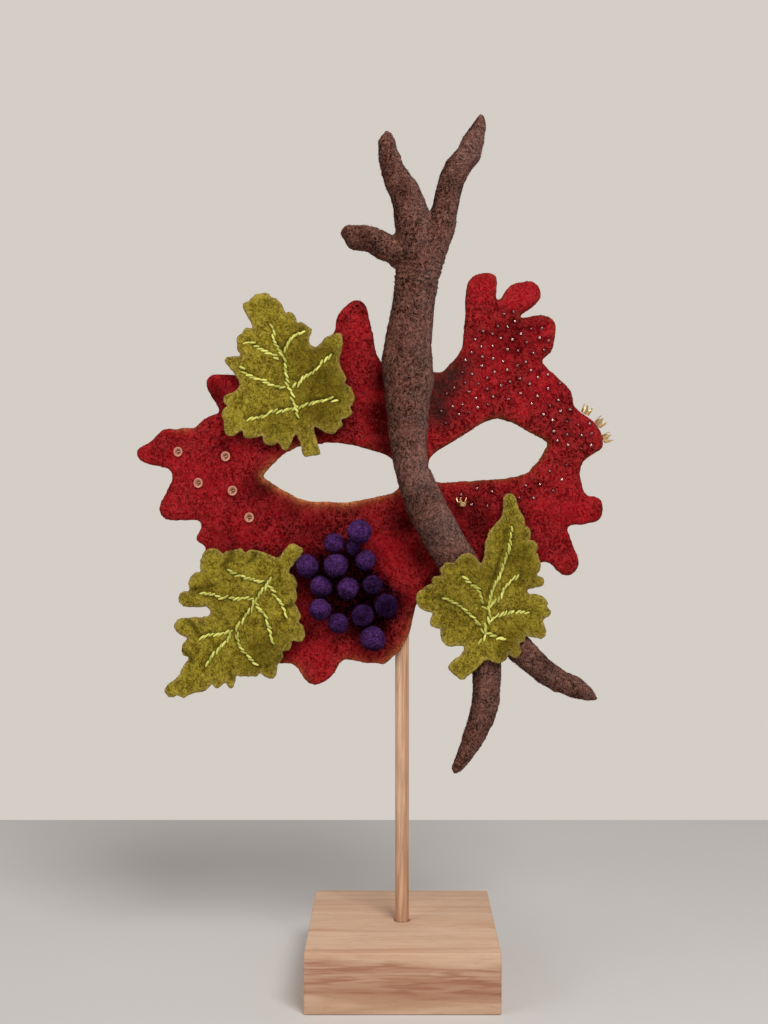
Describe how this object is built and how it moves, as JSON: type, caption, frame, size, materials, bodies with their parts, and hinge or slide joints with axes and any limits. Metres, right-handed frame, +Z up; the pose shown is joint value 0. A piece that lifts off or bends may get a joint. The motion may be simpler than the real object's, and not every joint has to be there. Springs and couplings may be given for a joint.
{
  "type": "felt masquerade mask on a wooden stand",
  "caption": "Leaf-shaped felt eye mask with a felted tree, vine leaves and grapes, held up by a dowel in a square wooden block.",
  "frame": {"origin": "middle of the stand block's underside", "axes": "+Z up along the dowel, -Y the way the mask looks, +X to the right as seen from the front"},
  "size_m": [0.2111, 0.08, 0.3705],
  "materials": {
    "felt_red": "wet-felted wool, mottled crimson and maroon",
    "felt_bark": "needle-felted wool, brown and grey, fuzzy",
    "felt_leaf": "cut sheet felt, moss green, mottled",
    "felt_grape": "felt balls, violet",
    "sequin": "pearly copper",
    "crown_gold": "bright gold plate",
    "stand_wood": "fine sanded, bare"
  },
  "bodies": {
    "root": {"mask_felt": "felt_red", "felt_branch": "felt_bark", "leaf_upper_left": "felt_leaf", "leaf_lower_left": "felt_leaf", "leaf_lower_right": "felt_leaf", "grape_01": "felt_grape", "grape_02": "felt_grape", "grape_03": "felt_grape", "grape_04": "felt_grape", "grape_05": "felt_grape", "grape_06": "felt_grape", "grape_07": "felt_grape", "grape_08": "felt_grape", "grape_09": "felt_grape", "grape_10": "felt_grape", "grape_11": "felt_grape", "grape_12": "felt_grape", "grape_13": "felt_grape", "grape_14": "felt_grape", "sequin_1": "sequin", "sequin_2": "sequin", "sequin_3": "sequin", "sequin_4": "sequin", "sequin_5": "sequin", "gold_crown_1": "crown_gold", "gold_crown_2": "crown_gold", "gold_crown_3": "crown_gold", "gold_crown_4": "crown_gold", "stand_base": "stand_wood", "stand_dowel": "stand_wood", "dowel_sleeve": "felt_red"}
  },
  "joints": []
}
